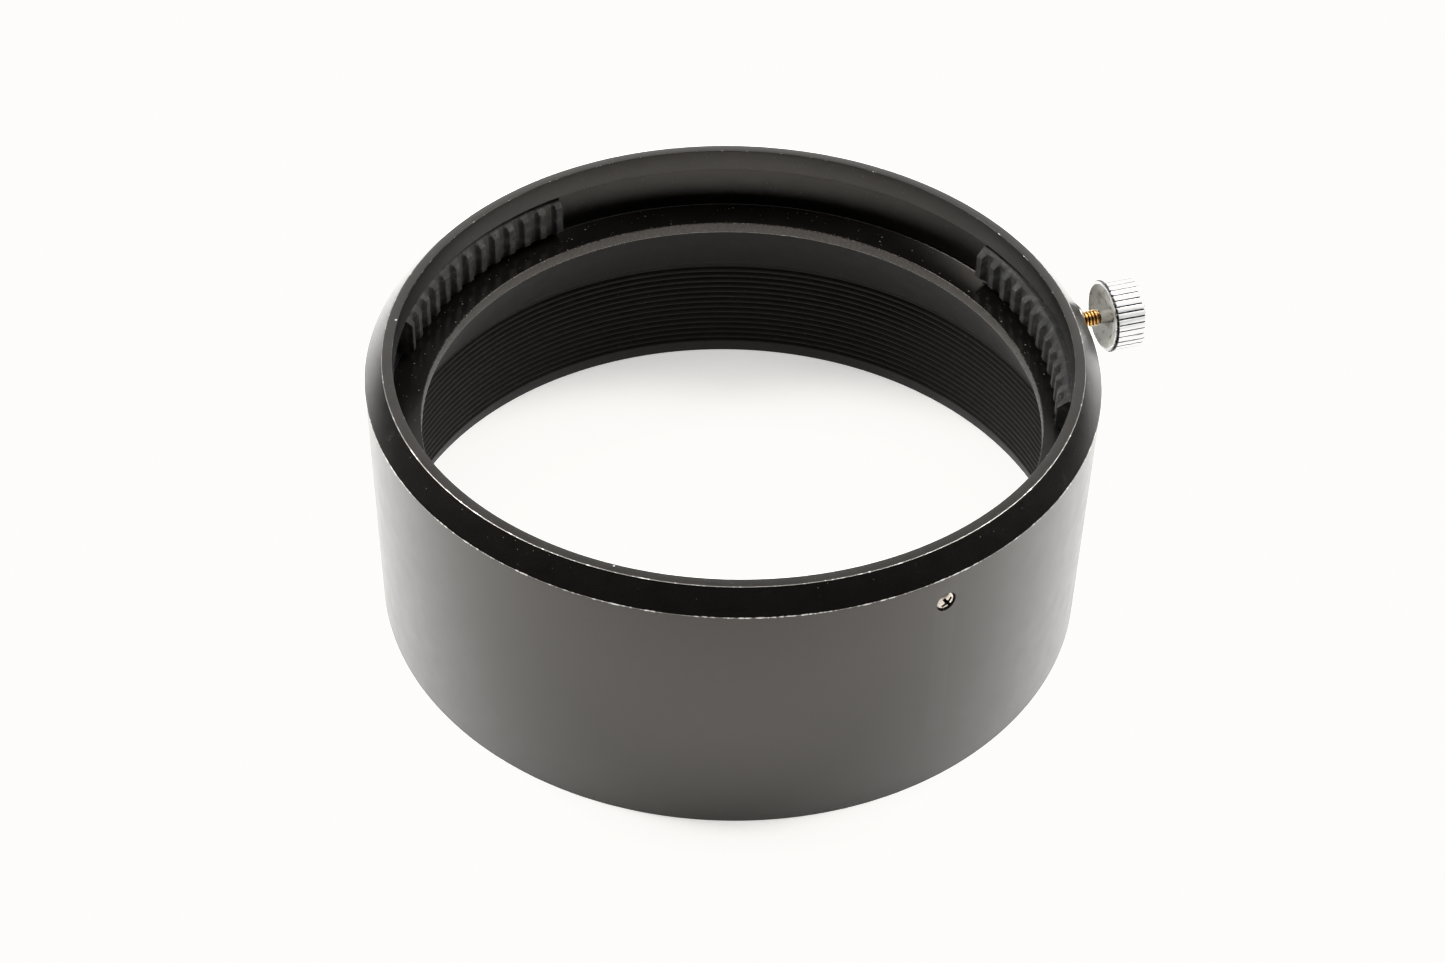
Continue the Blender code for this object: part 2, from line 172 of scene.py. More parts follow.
def prism(outline, low, high):
    """An outline in X and Y, raised from low to high."""
    shape = bmesh.new()
    face = shape.faces.new([shape.verts.new((x * MM, y * MM, low * MM)) for x, y in outline])
    raised = bmesh.ops.extrude_face_region(shape, geom=[face])["geom"]
    top = [item for item in raised if isinstance(item, bmesh.types.BMVert)]
    bmesh.ops.translate(shape, verts=top, vec=(0, 0, (high - low) * MM))
    return shape


def apply_modifiers(obj):
    """Bakes an object's modifiers into its mesh."""
    graph = bpy.context.evaluated_depsgraph_get()
    mesh = bpy.data.meshes.new_from_object(obj.evaluated_get(graph))
    obj.modifiers.clear()
    obj.data = mesh


def soften(obj, width):
    """Rounds the sharp edges of a piece."""
    bevel = obj.modifiers.new("edges", "BEVEL")
    bevel.width = width * MM
    bevel.segments = 2
    bevel.limit_method = "ANGLE"
    bevel.angle_limit = math.radians(40)
    apply_modifiers(obj)


def cut_away(obj, cutters, angle=35, lining=None):
    """Subtracts shapes from a piece for good. lining is the material of the cut faces."""
    for shape in cutters:
        cutter = piece("cutter", shape, None, (), lining or obj.data.materials[0])
        boolean = obj.modifiers.new("cut", "BOOLEAN")
        boolean.object = cutter
        boolean.solver = "EXACT"
        boolean.operation = "DIFFERENCE"
        boolean.material_mode = "TRANSFER"
        bpy.context.view_layer.update()
        apply_modifiers(obj)
        bpy.data.objects.remove(cutter)
    obj.data.shade_smooth()
    obj.data.set_sharp_from_angle(angle=math.radians(angle))


def drill(obj, radius, near, far, place):
    """Cuts a round hole along local Z of place."""
    hole = ((0, far), (radius, far), (radius, near), (0, near))
    cut_away(obj, [turned(hole, 48, place, closed=False)])


def axis_at(azimuth):
    """Local Z out along a radius at the clamp's height."""
    turn = Matrix.Rotation(azimuth, 4, "Z") @ Matrix.Rotation(math.pi / 2, 4, "Y")
    return Matrix.Translation((0, 0, CLAMP_Z * MM)) @ turn


SCREW_AXIS = axis_at(0)
ANCHOR_AXIS = axis_at(ANCHOR_AZIMUTH)


def on_circle(centre, radius, angle):
    return centre + Vector((math.cos(angle), math.sin(angle))) * radius


def span(node, axis):
    """A CAD node's low and high along an axis."""
    low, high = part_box(node)
    return low[axis] / MM, high[axis] / MM


def head_size():
    """The thumbscrew head's two ends along X, and the radius it is drawn with."""
    return (*span("thumbscrew_head", 0), span("thumbscrew_head", 2)[1] - CLAMP_Z + HEAD_PROUD)


def leaf_arc():
    """Centre, outer radius and end angles of the leaf, as in the CAD."""
    end_radius = CHANNEL - LEAF_END_GAP
    tail_azimuth = ANCHOR_AZIMUTH - LEAF_TAIL / end_radius
    middle = (LEAF_FREE_AZIMUTH + tail_azimuth) / 2
    half = (LEAF_FREE_AZIMUTH - tail_azimuth) / 2
    half_chord = end_radius * math.sin(half)
    rise = end_radius * (1 - math.cos(half)) - LEAF_BOW
    radius = (half_chord**2 + rise**2) / (2 * rise)
    centre = on_circle(Vector((0, 0)), end_radius - LEAF_BOW - radius, middle)
    half_span = math.asin(half_chord / radius)
    return centre, radius, middle - half_span, middle + half_span


def arc(centre, radius, first, last, step=math.radians(1)):
    count = max(2, math.ceil(abs(last - first) / step))
    return [on_circle(centre, radius, first + (last - first) * i / count) for i in range(count + 1)]


# ---------------------------------------------------------------- materials

class Nodes:
    """A Principled material and short ways to add nodes to it."""

    def __init__(self, name, **constants):
        self.material = bpy.data.materials.new(name)
        self.material.use_nodes = True
        self.tree = self.material.node_tree
        self.shader = self.tree.nodes["Principled BSDF"]
        for socket, value in constants.items():
            self.shader.inputs[socket.replace("_", " ")].default_value = value
        place = self.tree.nodes.new("ShaderNodeTexCoord").outputs["Object"]
        scale = self.tree.nodes.new("ShaderNodeVectorMath")
        scale.operation = "SCALE"
        scale.inputs["Scale"].default_value = 1 / MM
        self.tree.links.new(place, scale.inputs[0])
        self.place = scale.outputs[0]
        split = self.tree.nodes.new("ShaderNodeSeparateXYZ")
        self.tree.links.new(self.place, split.inputs[0])
        self.x, self.y, self.z = split.outputs

    def put(self, socket, value):
        """A number, a colour or a link into a socket."""
        if isinstance(value, (int, float)):
            socket.default_value = value
        elif isinstance(value, tuple):
            socket.default_value = (*value, 1)
        else:
            self.tree.links.new(value, socket)

    def math(self, operation, first, second=0.0, third=0.0):
        node = self.tree.nodes.new("ShaderNodeMath")
        node.operation = operation
        for socket, value in zip(node.inputs, (first, second, third)):
            self.put(socket, value)
        return node.outputs[0]

    def times(self, *factors):
        total = factors[0]
        for factor in factors[1:]:
            total = self.math("MULTIPLY", total, factor)
        return total

    def radius(self, centre_z=None):
        """Distance from the optical axis, or from the thumbscrew's axis at a height."""
        if centre_z is None:
            first, other = self.x, self.y
        else:
            first, other = self.y, self.math("SUBTRACT", self.z, centre_z)
        return self.math("SQRT", self.math("MULTIPLY_ADD", other, other, self.times(first, first)))

    def step(self, value, low, high, start=0.0, end=1.0):
        """start below low, end above high, smooth between."""
        node = self.tree.nodes.new("ShaderNodeMapRange")
        node.interpolation_type = "SMOOTHSTEP"
        for socket, number in zip(node.inputs[:5], (value, low, high, start, end)):
            self.put(socket, number)
        return node.outputs[0]

    def moved(self, shift, stretch):
        """The place in millimetres, shifted and stretched."""
        node = self.tree.nodes.new("ShaderNodeMapping")
        self.put(node.inputs["Vector"], self.place)
        node.inputs["Location"].default_value = shift
        node.inputs["Scale"].default_value = stretch
        return node.outputs[0]

    def noise(self, scale, stretch=(1, 1, 1), detail=2.0, rough=0.5, shift=0.0):
        node = self.tree.nodes.new("ShaderNodeTexNoise")
        self.put(node.inputs["Vector"], self.moved((shift, shift * 0.7, shift * 0.3), stretch))
        for socket, value in (("Scale", scale), ("Detail", detail), ("Roughness", rough)):
            node.inputs[socket].default_value = value
        return node.outputs["Fac"]

    def specks(self, scale, size, share, shift=0.0, stretch=(1, 1, 1)):
        """1 on scattered dots: size in cells, and the share of cells that hold one."""
        node = self.tree.nodes.new("ShaderNodeTexVoronoi")
        self.put(node.inputs["Vector"], self.moved((shift, shift, shift), stretch))
        node.inputs["Scale"].default_value = scale
        near = self.step(node.outputs["Distance"], size * 0.6, size, 1.0, 0.0)
        chance = self.tree.nodes.new("ShaderNodeSeparateColor")
        self.put(chance.inputs[0], node.outputs["Color"])
        return self.math("MULTIPLY", near, self.math("LESS_THAN", chance.outputs[0], share))

    def blend(self, factor, under, over):
        node = self.tree.nodes.new("ShaderNodeMix")
        node.data_type = "RGBA"
        self.put(node.inputs[0], factor)
        self.put(node.inputs[6], under)
        self.put(node.inputs[7], over)
        return node.outputs[2]

    def between(self, factor, under, over):
        """under where factor is 0, over where it is 1."""
        return self.math("MULTIPLY_ADD", factor, self.math("SUBTRACT", over, under), under)

    def within(self, value, low, high):
        """1 between low and high, 0 outside them."""
        above = self.math("GREATER_THAN", value, low)
        return self.times(above, self.math("LESS_THAN", value, high))

    def stains(self, grain):
        """1 where metal is soiled, in clouds with a grainy edge."""
        cloud = self.noise(0.9, detail=4.0, rough=0.6, shift=1.5)
        mixed = self.math("MULTIPLY_ADD", cloud, 0.6, self.times(grain, 0.4))
        return self.step(mixed, 0.44, 0.66)

    def most(self, *values):
        total = values[0]
        for value in values[1:]:
            total = self.math("MAXIMUM", total, value)
        return total

    def bump(self, height, distance, strength):
        node = self.tree.nodes.new("ShaderNodeBump")
        node.inputs["Strength"].default_value = strength
        node.inputs["Distance"].default_value = distance * MM
        self.put(node.inputs["Height"], height)
        self.tree.links.new(node.outputs[0], self.shader.inputs["Normal"])

    def finish(self, **sockets):
        for name, value in sockets.items():
            self.put(self.shader.inputs[name.replace("_", " ")], value)
        return self.material


BARE_ALUMINIUM = (0.62, 0.60, 0.57)


def turning_marks(n, grain):
    """Fine lines round the ring, as a lathe leaves them, mixed with grain."""
    lines = n.noise(7.0, (0.02, 0.02, 1.0))
    return n.math("MULTIPLY_ADD", lines, 0.6, n.times(grain, 0.4))


def anodised(name, sheen):
    """Black anodising, turned and worn to bare metal along its edges, with dust inside."""
    n = Nodes(name, IOR=1.5, Specular_IOR_Level=sheen, Specular_Tint=(1.0, 0.92, 0.84, 1.0))
    radius = n.radius()
    coarse = n.noise(0.35, detail=3.0, shift=3.0)
    fine = n.noise(2.2, detail=3.0, rough=0.65, shift=9.0)
    grain = n.noise(9.0, rough=0.6)
    patch = n.math("MULTIPLY_ADD", fine, 0.6, n.times(coarse, 0.4))

    def edge(at_radius, at_height, width, start, full):
        """Wear along one edge: how wide, and how much noise it takes to start and to be full."""
        across = n.math("SUBTRACT", radius, at_radius)
        along = n.math("SUBTRACT", n.z, at_height)
        gap = n.math("SQRT", n.math("MULTIPLY_ADD", across, across, n.times(along, along)))
        reach = n.step(patch, start, full, 0.02, width)
        return n.step(n.math("DIVIDE", gap, reach), 0.65, 1.0, 1.0, 0.0)

    worn = n.most(
        edge(OUTER, HEIGHT - BEVEL_HEIGHT - 0.03, 0.115, 0.48, 0.62),
        edge(OUTER - BEVEL_WIDTH - 0.02, HEIGHT, 0.10, 0.53, 0.68),
        edge(LIP, HEIGHT, 0.06, 0.52, 0.70),
        edge(OUTER, 0, 0.10, 0.55, 0.72),
        edge(THROAT, LEDGE_Z, 0.07, 0.54, 0.72),
        edge(THROAT, LEDGE_Z - THROAT_LAND, 0.06, 0.56, 0.72),
    )
    outside = n.math("GREATER_THAN", radius, OUTER - 0.03)
    nicks = n.times(outside, n.specks(0.16, 0.045, 0.22, 4.0, (1, 1, 0.6)))
    top = n.math("GREATER_THAN", n.z, HEIGHT - BEVEL_HEIGHT - 0.3)
    nicks = n.most(nicks, n.times(top, n.specks(0.42, 0.075, 0.10, 11.0)))
    metal = n.most(worn, nicks)
    inside = n.math("LESS_THAN", radius, OUTER - GROOVE_WALL)
    ledge = n.times(inside, n.step(n.z, LEDGE_Z + 0.5, LEDGE_Z + 0.2),
                    n.math("GREATER_THAN", n.z, LEDGE_Z - 0.2))
    dust = n.times(inside, n.most(
        n.times(n.specks(2.6, 0.20, 0.08, 2.0), 0.5),
        n.times(ledge, n.specks(1.7, 0.22, 0.055, 7.0)),
    ))
    land_low = LEDGE_Z - THROAT_LAND
    land = n.times(inside, n.step(n.z, land_low - 0.1, land_low), n.math("LESS_THAN", n.z, LEDGE_Z))
    rubbed = n.times(land, n.step(fine, 0.42, 0.62))
    black = n.blend(coarse, (0.0026, 0.0023, 0.0020), (0.0044, 0.0039, 0.0035))
    black = n.blend(n.times(rubbed, 0.5), black, (0.045, 0.034, 0.024))
    colour = n.blend(metal, n.blend(n.times(dust, 0.8), black, (0.17, 0.15, 0.12)), BARE_ALUMINIUM)
    rough = n.math("MULTIPLY_ADD", coarse, 0.10, 0.24)
    rough = n.math("MULTIPLY_ADD", grain, 0.06, rough)
    bevel = n.times(n.math("GREATER_THAN", radius, OUTER - BEVEL_WIDTH + 0.05),
                    n.math("GREATER_THAN", n.z, HEIGHT - BEVEL_HEIGHT + 0.05))
    rough = n.math("MULTIPLY_ADD", n.most(n.times(bevel, 0.6), ledge), -0.12, rough)
    rough = n.between(n.most(dust, n.times(rubbed, 0.5)), rough, 0.7)
    n.bump(turning_marks(n, grain), 0.004, 0.6)
    rough = n.between(metal, rough, 0.36)
    return n.finish(Base_Color=colour, Metallic=n.times(metal, 0.92), Roughness=rough)


def baffle():
    """Flat black of the cone and the baffle grooves, with a little dust on the crests."""
    n = Nodes("baffle_black", IOR=1.5, Specular_IOR_Level=0.115, Specular_Tint=(1.0, 0.94, 0.88, 1.0))
    cloud = n.noise(0.4, detail=3.0, shift=3.0)
    grain = n.noise(8.0, detail=3.0, rough=0.6)
    dust = n.times(n.specks(2.2, 0.18, 0.10, 2.0), 0.35)
    colour = n.blend(cloud, (0.0056, 0.0052, 0.0047), (0.0080, 0.0073, 0.0066))
    n.bump(turning_marks(n, grain), 0.003, 0.3)
    rough = n.math("MULTIPLY_ADD", cloud, 0.10, n.math("MULTIPLY_ADD", grain, 0.08, 0.44))
    return n.finish(Base_Color=n.blend(dust, colour, (0.14, 0.13, 0.12)), Roughness=rough)


def rubber():
    """Moulded rubber, with dust in patches, and painted light that lifts the shade in the valleys."""
    n = Nodes("ribbed_rubber", IOR=1.48, Specular_IOR_Level=0.36)
    cloud = n.noise(0.8, detail=3.0)
    grain = n.noise(7.0, detail=3.0, rough=0.65)
    dust = n.most(n.times(n.step(cloud, 0.45, 0.68), 0.5), n.specks(3.0, 0.24, 0.22, 5.0))
    colour = n.blend(cloud, (0.010, 0.0097, 0.009), (0.022, 0.0212, 0.0195))
    # Painted light: lighter colour towards the pad's back, in the valleys and on the sloped edges,
    # lifting the shade that falls there.
    valley = n.step(n.radius(), LIP, LIP + 0.35)
    colour = n.blend(n.times(valley, 0.40), colour, (0.075, 0.068, 0.058))
    colour = n.blend(n.times(dust, n.step(grain, 0.40, 0.60)), colour, (0.12, 0.113, 0.10))
    n.bump(grain, 0.02, 0.7)
    return n.finish(Base_Color=colour, Roughness=n.math("MULTIPLY_ADD", grain, 0.25, 0.48))


def facing_marks(n, radius, grain):
    """Fine rings about the thumbscrew's axis, mixed with grain."""
    return n.math("MULTIPLY_ADD", n.math("SINE", n.times(radius, 52.0)), 0.25, grain)


def metal(name, clean, soiled, rough, share=0.5, turned_about=None):
    """Bare or plated metal with stains, fine marks and a little dirt."""
    n = Nodes(name, Metallic=1.0)
    grain = n.noise(6.0, detail=3.0, rough=0.6)
    dirt = n.stains(grain)
    height = grain if turned_about is None else facing_marks(n, n.radius(turned_about), grain)
    n.bump(height, 0.004, 0.5)
    return n.finish(
        Base_Color=n.blend(n.times(dirt, share), clean, soiled),
        Roughness=n.math("MULTIPLY_ADD", dirt, 0.22, n.math("MULTIPLY_ADD", grain, 0.10, rough)),
    )


def head_chrome():
    """Satin chrome: clean on the teeth, dull and mottled in the dish, with painted shade and dirt in
    the grooves, and painted shade on the teeth's ends by the dish.
    """
    inner, outer, rim = head_size()
    dish_edge, crown_foot = rim - DISH_RIM, rim - CROWN_DEPTH
    n = Nodes("chrome_plated_brass", Metallic=1.0)
    radius = n.radius(CLAMP_Z)
    grain = n.noise(6.0, detail=3.0, rough=0.6)
    dirt = n.stains(grain)
    dish = n.times(n.step(radius, dish_edge - 0.05, dish_edge + 0.05, 1.0, 0.0),
                   n.math("LESS_THAN", n.x, inner + 2))
    side = n.times(n.step(n.x, inner + 0.02, inner + 0.10),
                   n.math("LESS_THAN", n.x, outer - KNURL_END))
    groove = n.times(side, n.step(radius, crown_foot - 0.10, crown_foot - 0.01, 1.0, 0.0),
                     n.math("GREATER_THAN", radius, dish_edge))
    # Painted shade: the teeth's ends next to the dish are darkened.
    tooth_end_shade = n.times(side, n.math("LESS_THAN", n.x, inner + 0.30),
                   n.within(radius, rim - 0.42, rim - 0.03))
    colour = n.blend(n.times(dirt, 0.25), (0.90, 0.90, 0.90), (0.58, 0.57, 0.54))
    colour = n.blend(dish, colour, n.blend(dirt, (0.60, 0.60, 0.56), (0.22, 0.215, 0.18)))
    # Painted shade and dirt: the grooves between the teeth are darkened.
    colour = n.blend(n.times(groove, 0.88), colour, (0.07, 0.07, 0.07))
    colour = n.blend(n.times(tooth_end_shade, 0.75), colour, (0.03, 0.032, 0.03))
    teeth = n.times(side, n.math("SUBTRACT", 1.0, n.most(groove, tooth_end_shade)))
    n.bump(facing_marks(n, radius, grain), 0.004, 0.5)
    rough = n.math("MULTIPLY_ADD", dirt, 0.10, n.math("MULTIPLY_ADD", grain, 0.10, 0.20))
    rough = n.math("MULTIPLY_ADD", teeth, 0.12, n.math("MULTIPLY_ADD", dish, 0.14, rough))
    solid = n.math("MULTIPLY_ADD", teeth, -0.42, 1.0)
    return n.finish(Base_Color=colour, Roughness=rough, Metallic=solid)


def stud_brass():
    """Brass thread with painted shade in its valleys, and a plated neck."""
    n = Nodes("turned_brass", Metallic=1.0)
    radius = n.radius(CLAMP_Z)
    grain = n.noise(7.0, detail=3.0, rough=0.6)
    head_inner = head_size()[0]
    plated = n.step(n.x, head_inner - NECK_LENGTH - 0.02, head_inner - NECK_LENGTH + 0.15)
    # Painted shade: the thread's valleys are darkened almost to black.
    valley = n.step(radius, THREAD_RADIUS - 0.20, THREAD_RADIUS - 0.06, 1.0, 0.0)
    brass = n.blend(n.times(grain, 0.6), (0.86, 0.55, 0.22), (0.52, 0.29, 0.10))
    brass = n.blend(n.times(valley, 0.92), brass, (0.06, 0.030, 0.010))
    n.bump(grain, 0.006, 0.5)
    return n.finish(
        Base_Color=n.blend(plated, brass, (0.80, 0.78, 0.75)),
        Roughness=n.math("MULTIPLY_ADD", grain, 0.16, 0.16),
    )


def bush_plate():
    """Plated bush: painted shade darkens its mottled side, and a painted highlight brightens the
    chamfer and the face.
    """
    n = Nodes("plated_brass_bush", Metallic=1.0)
    outer = span("screw_bush", 0)[1]
    cloud = n.noise(0.9, detail=4.0, rough=0.6, shift=1.5)
    grain = n.noise(6.0, detail=3.0, rough=0.6)
    # Painted highlight: the chamfer and the face are painted bright.
    face_highlight = n.step(n.x, outer - 0.46, outer - 0.38)
    # Painted shade: the side is painted dark, with mottling.
    colour = n.blend(n.times(cloud, 0.8), (0.17, 0.165, 0.15), (0.08, 0.078, 0.068))
    n.bump(grain, 0.004, 0.4)
    return n.finish(
        Base_Color=n.blend(face_highlight, colour, (0.88, 0.88, 0.86)),
        Roughness=n.math("MULTIPLY_ADD", grain, 0.12, 0.12),
    )


# ---------------------------------------------------------------- pieces

def make_barrel(made_of, baffle_made_of, inner_made_of):
    """The turned ring: one outline for the whole section, then the two screws' holes."""
    corners = [
        (OUTER - BEVEL_WIDTH, HEIGHT, 0.10),
        (LIP, HEIGHT, 0.07),
        (LIP, LIP_Z, 0.08),
        (CHANNEL, LIP_Z, 0.06),
        (CHANNEL, LEDGE_Z, 0.10),
        (THROAT, LEDGE_Z, 0.10),
        (THROAT, LEDGE_Z - THROAT_LAND, 0.08),
        (CREST, CONE_Z, 0.06),
    ]
    for groove in reversed(range(GROOVE_COUNT)):
        low = FRONT_CHAMFER + groove * GROOVE_PITCH
        corners += [
            (CREST, low + GROOVE_PITCH - GROOVE_CREST_HALF, 0),
            (CREST + GROOVE_DEPTH * GROOVE_BLUNT, low + GROOVE_PITCH / 2, 0.07),
            (CREST, low + GROOVE_CREST_HALF, 0),
        ]
    corners += [
        (CREST, FRONT_CHAMFER, 0.05),
        (OUTER - FRONT_WALL, 0, 0.08),
        (OUTER, 0, 0.12),
        (OUTER, HEIGHT - BEVEL_HEIGHT, 0.12),
    ]
    barrel = piece("barrel_shell", turned(rounded(corners), 400), None, (), made_of)
    inside, outside = CHANNEL - 1, OUTER + 1
    cutters = []
    for hole, recess, depth, place in (
        (BUSH_HOLE_RADIUS, SPOTFACE_RADIUS, SPOTFACE_DEPTH, SCREW_AXIS),
        (ANCHOR_HOLE_RADIUS, COUNTERBORE_RADIUS, COUNTERBORE_DEPTH, ANCHOR_AXIS),
    ):
        floor = OUTER - depth
        outline = (
            (0, outside), (recess, outside), (recess, floor),
            (hole, floor), (hole, inside), (0, inside),
        )
        cutters.append(turned(outline, 64, place, closed=False))
    cut_away(barrel, cutters, 30)
    barrel.data.materials.append(baffle_made_of)
    barrel.data.materials.append(inner_made_of)
    for face in barrel.data.polygons:
        middle = face.center / MM
        radius, slope = middle.xy.length, abs(face.normal.z)
        if middle.z > LEDGE_Z + 0.05 and radius < CHANNEL + 0.2 and slope < 0.5:
            face.material_index = 2
        if 0.05 < middle.z < LEDGE_Z - THROAT_LAND and radius < OUTER - 0.5 and slope < 0.99:
            face.material_index = 1
    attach(barrel, "ring")
    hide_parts("hood_barrel")


def eased(corners, setback):
    """An open profile with its inner corners turned into short curves."""
    profile = [Vector(corners[0])]
    for before, here, after in zip(corners, corners[1:], corners[2:]):
        before, here, after = Vector(before), Vector(here), Vector(after)
        first = here + (before - here).normalized() * setback
        last = here + (after - here).normalized() * setback
        profile += [first, (first + last + 2 * here) / 4, last]
    return [*profile, Vector(corners[-1])]


def ribbed_pad(centre, back_radius, middle, thickness, low, high):
    """A strip with upright ribs. Its long edges slope, so the valleys run out before they end."""
    half = PAD_LENGTH / 2
    pitch = (PAD_LENGTH - RIB_TIP) / (RIB_COUNT - 1)
    valley = thickness - RIB_HEIGHT
    corners = [(-half, thickness)]
    for rib in range(RIB_COUNT):
        start = -half + rib * pitch
        if rib > 0:
            corners += [(start - RIB_FLANK, valley), (start, thickness)]
        if rib < RIB_COUNT - 1:
            corners += [(start + RIB_TIP, thickness), (start + RIB_TIP + RIB_FLANK, valley)]
    corners.append((half, thickness))
    run_out = (valley - PAD_SLOPE_START) / PAD_SLOPE
    full = (thickness - PAD_SLOPE_START) / PAD_SLOPE
    above_edge = (0, run_out, (run_out + full) / 2, full)
    levels = [low + rise / PAD_STEEPER for rise in above_edge]
    levels += [levels[-1] + PAD_EDGE_STEP, high - full - PAD_EDGE_STEP]
    levels += [high - drop for drop in reversed(above_edge)]
    shape = bmesh.new()
    columns = []
    for along, deep in eased(corners, RIB_EASE):
        angle = middle + along / back_radius
        column = [(0.0, low)]
        for level in levels:
            slope = PAD_SLOPE_START + PAD_SLOPE * min(PAD_STEEPER * (level - low), high - level)
            column.append((min(deep, slope, thickness), level))
        column.append((0.0, high))
        columns.append([
            shape.verts.new((*on_circle(centre, back_radius - depth, angle) * MM, level * MM))
            for depth, level in column
        ])
    for here, there in zip(columns, columns[1:]):
        for i in range(len(here)):
            k = (i + 1) % len(here)
            shape.faces.new((here[i], here[k], there[k], there[i]))
    shape.faces.new(columns[0])
    shape.faces.new(columns[-1])
    return shape


def make_pads_and_leaf(made_of, steel):
    """Two fixed pads on the channel's wall, and the third on its spring leaf."""
    ring_centre, pad_back = Vector((0, 0)), CHANNEL - 0.1
    for side, azimuth in (("left", FIXED_PAD_AZIMUTH), ("right", -FIXED_PAD_AZIMUTH)):
        node = "fixed_pad_" + side
        shape = ribbed_pad(ring_centre, pad_back, azimuth, FIXED_PAD_THICKNESS, *span(node, 2))
        piece("ribbed_pad_" + side, shape, "ring", (node,), made_of, 32)
    centre, radius, tail, free = leaf_arc()
    inner = radius - LEAF_THICKNESS
    back = inner - 0.05
    middle = free - (LEAF_PAD_MARGIN + PAD_LENGTH / 2) / back
    shape = ribbed_pad(centre, back, middle, CLAMP_PAD_THICKNESS, *span("clamp_pad", 2))
    piece("clamp_strip", shape, "leaf", ("clamp_pad",), made_of, 32)
    outline = arc(centre, radius, tail, free) + arc(centre, inner, free, tail)
    shape = prism(outline, *span("spring_leaf", 2))
    leaf = piece("leaf_spring", shape, "leaf", ("spring_leaf",), steel)
    drill(leaf, LEAF_HOLE_RADIUS, LIP - 1, CHANNEL + 1, ANCHOR_AXIS)
    soften(leaf, LEAF_EDGE)


def recess_wing(face, turn):
    """One bar of the cross, tapering towards its bottom."""
    wing = bmesh.new()
    for half_length, half_width, height in ((0.36, 0.13, face - 0.85), (0.94, 0.22, face + 0.05)):
        for a, b in ((-1, -1), (1, -1), (1, 1), (-1, 1)):
            wing.verts.new(Vector((half_length * a, half_width * b, height)) * MM)
    wing.verts.ensure_lookup_table()
    for corners in ((3, 2, 1, 0), (4, 5, 6, 7), (0, 1, 5, 4), (1, 2, 6, 5), (2, 3, 7, 6), (3, 0, 4, 7)):
        wing.faces.new([wing.verts[i] for i in corners])
    place = ANCHOR_AXIS @ Matrix.Rotation(turn, 4, "Z")
    bmesh.ops.transform(wing, matrix=place, verts=wing.verts)
    return wing


def make_anchor(nickel, zinc, recess_shade):
    """The domed cross-head screw, and the tapped plate that it pulls on."""
    face, under = OUTER + ANCHOR_PROUD, OUTER - ANCHOR_UNDER
    plate_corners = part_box("anchor_nut_plate")
    reach = (ANCHOR_AXIS.inverted() @ ((plate_corners[0] + plate_corners[1]) / 2)).z / MM
    dome = [(ANCHOR_RIM * k / 10, face - ANCHOR_DROP * (k / 10) ** 2) for k in range(11)]
    outline = [
        *dome, (ANCHOR_RIM, face - ANCHOR_DROP - ANCHOR_SKIRT), (ANCHOR_RIM - 0.08, under),
        (ANCHOR_SHANK, under), (ANCHOR_SHANK, reach - 0.2), (0.0, reach - 0.2),
    ]
    shape = turned(outline, 64, ANCHOR_AXIS, closed=False)
    screw = piece("cross_head_screw", shape, "ring", ("anchor_screw",), nickel)
    # The cone goes first: cut after the wings, it leaves the Boolean with nothing.
    cone = ((0, face + 0.2), (0.45, face + 0.2), (0.16, face - 0.78), (0, face - 0.78))
    cutters = [turned(cone, 31, ANCHOR_AXIS, closed=False)]
    cutters += [recess_wing(face, turn) for turn in (RECESS_TURN, RECESS_TURN + math.pi / 2)]
    # The cross recess is lined with painted shade.
    cut_away(screw, cutters, lining=recess_shade)
    plate_low, plate_high = reach - NUT_PLATE_HALF_THICKNESS, reach + NUT_PLATE_HALF_THICKNESS
    outline = rounded([
        (NUT_PLATE_HALF_HEIGHT * a, NUT_PLATE_HALF_WIDTH * b, NUT_PLATE_CORNER)
        for a, b in ((-1, -1), (1, -1), (1, 1), (-1, 1))
    ])
    shape = prism(outline, plate_low, plate_high)
    bmesh.ops.transform(shape, matrix=ANCHOR_AXIS, verts=shape.verts)
    plate = piece("threaded_plate", shape, "ring", ("anchor_nut_plate",), zinc)
    drill(plate, NUT_PLATE_HOLE, plate_low - 1, plate_high + 1, ANCHOR_AXIS)
    soften(plate, PLATE_EDGE)


def make_bush(made_of):
    """The flanged bush that the stud goes through."""
    inner, outer = span("screw_bush", 0)
    flange = OUTER - SPOTFACE_DEPTH + 0.1
    outline = rounded([
        (BUSH_BORE, outer - 0.12, 0.02), (BUSH_BORE + 0.2, outer, 0.06), (BUSH_FACE, outer, 0.06),
        (BUSH_FLANGE, outer - BUSH_CHAMFER, 0.06), (BUSH_FLANGE, flange, 0.06),
        (BUSH_RADIUS, flange, 0.03), (BUSH_RADIUS, inner, 0.08), (BUSH_BORE, inner, 0.04),
    ])
    shape = turned(outline, 96, SCREW_AXIS)
    piece("threaded_bush", shape, "ring", ("screw_bush",), made_of)


